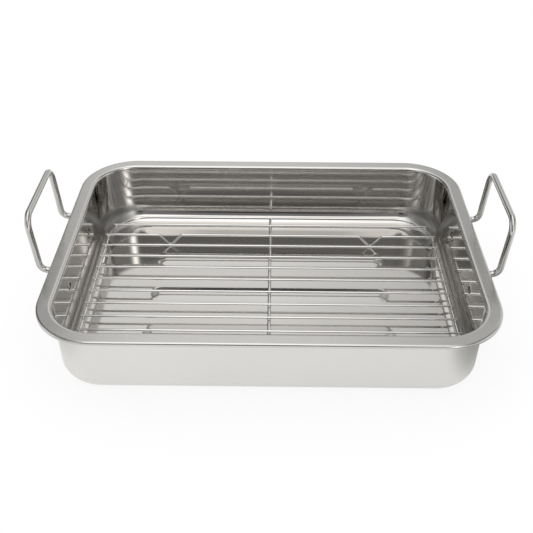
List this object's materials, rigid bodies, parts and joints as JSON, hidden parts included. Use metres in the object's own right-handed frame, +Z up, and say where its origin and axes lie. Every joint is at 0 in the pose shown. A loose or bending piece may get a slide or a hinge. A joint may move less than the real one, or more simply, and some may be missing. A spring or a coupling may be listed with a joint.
{
  "type": "roasting pan with rack",
  "caption": "Rectangular stainless roasting pan with a flat rim, upright wire handles at its ends and a lift-out wire rack that stands on bent wire feet.",
  "frame": {"origin": "on the table, under the middle of the pan", "axes": "+X along the pan, from the left handle to the right one, +Y to the rear long side, +Z up"},
  "size_m": [0.4328, 0.3, 0.1224],
  "materials": {
    "pan_steel": "polished stainless sheet, satin on the rim and outside, near mirror inside",
    "handle_steel": "polished stainless wire",
    "rack_chrome": "bright plated wire"
  },
  "bodies": {
    "pan": {"pan_body": "pan_steel", "left_handle": "handle_steel", "right_handle": "handle_steel"},
    "rack": {"rack_frame": "rack_chrome", "rack_cross_wire": "rack_chrome", "rack_leg_wire_rear": "rack_chrome", "rack_leg_wire_front": "rack_chrome", "rack_wire_01": "rack_chrome", "rack_wire_02": "rack_chrome", "rack_wire_03": "rack_chrome", "rack_wire_04": "rack_chrome", "rack_wire_05": "rack_chrome", "rack_wire_06": "rack_chrome", "rack_wire_07": "rack_chrome", "rack_wire_08": "rack_chrome", "rack_wire_09": "rack_chrome", "rack_wire_10": "rack_chrome"}
  },
  "joints": [
    {"name": "rack_lift", "type": "slide", "parent": "pan", "child": "rack", "axis": [0, 0, 1], "range_m": [0, 0.1]}
  ]
}
